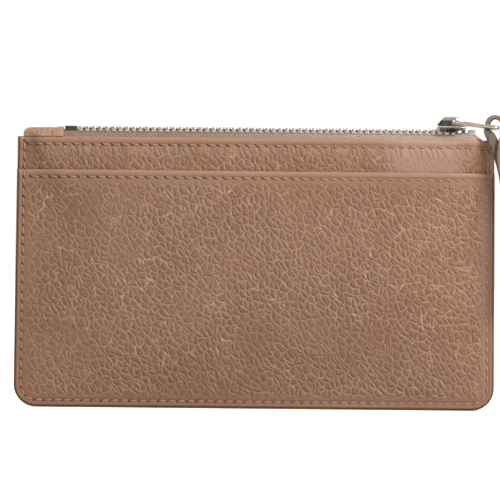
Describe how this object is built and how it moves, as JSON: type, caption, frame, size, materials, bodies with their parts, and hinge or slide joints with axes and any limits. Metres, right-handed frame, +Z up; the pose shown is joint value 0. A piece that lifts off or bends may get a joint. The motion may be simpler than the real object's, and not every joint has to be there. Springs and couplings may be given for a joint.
{
  "type": "zippered pouch",
  "caption": "Flat leather zip pouch with a slip pocket on the front and a ring and leather-lace pull on the zip slider.",
  "frame": {"origin": "middle of the bottom edge, on the edge paint that the pouch stands on", "axes": "+X along the zip towards its open end, +Y through the thickness towards the back, +Z up to the zip"},
  "size_m": [0.1573, 0.0137, 0.0934],
  "materials": {
    "leather": "pebbled, satin",
    "lining": "matte",
    "board": "matte",
    "edge_paint": "satin",
    "zip_tape": "twill",
    "zip_metal": "bright",
    "slider_metal": "polished",
    "pull_leather": "satin grain, suede back",
    "thread": "waxed"
  },
  "bodies": {
    "pouch": {"front_panel": "leather", "pocket_panel": "leather", "back_panel": "leather", "zip_end_tab": "leather", "front_lining": "lining", "back_lining": "lining", "pocket_lining": "lining", "front_stiffener": "board", "back_stiffener": "board", "body_edge_paint": "edge_paint", "pocket_edge_paint": "edge_paint", "front_tape": "zip_tape", "back_tape": "zip_tape", "front_teeth": "zip_metal", "back_teeth": "zip_metal", "bottom_stop": "zip_metal", "front_top_stop": "zip_metal", "back_top_stop": "zip_metal", "body_stitch_front": "thread", "body_stitch_back": "thread", "front_zip_stitch": "thread", "back_zip_stitch": "thread", "pocket_edge_stitch": "thread", "tab_stitch": "thread"},
    "slider": {"slider_body": "slider_metal", "slider_bridge": "slider_metal"},
    "puller": {"puller_ring": "slider_metal"},
    "strap": {"pull_strap": "pull_leather", "pull_strap_stitch": "thread"}
  },
  "joints": [
    {"name": "zip_slide", "type": "slide", "parent": "pouch", "child": "slider", "axis": [1, 0, 0], "range_m": [-0.113, 0], "deforming": ["front_teeth", "back_teeth"]},
    {"name": "ring_flip", "type": "hinge", "parent": "slider", "child": "puller", "pos_m": [0.06218, 0, 0.09105], "axis": [0, -1, 0], "range_deg": [0, 184]},
    {"name": "pull_hang", "type": "hinge", "parent": "puller", "child": "strap", "pos_m": [0.07597, 0, 0.08931], "axis": [0, -1, 0], "range_deg": [-184, 0], "deforming": ["pull_strap"]}
  ],
  "couplings": [
    {"joint": "ring_flip", "follows": "pull_hang", "ratio": -1}
  ]
}
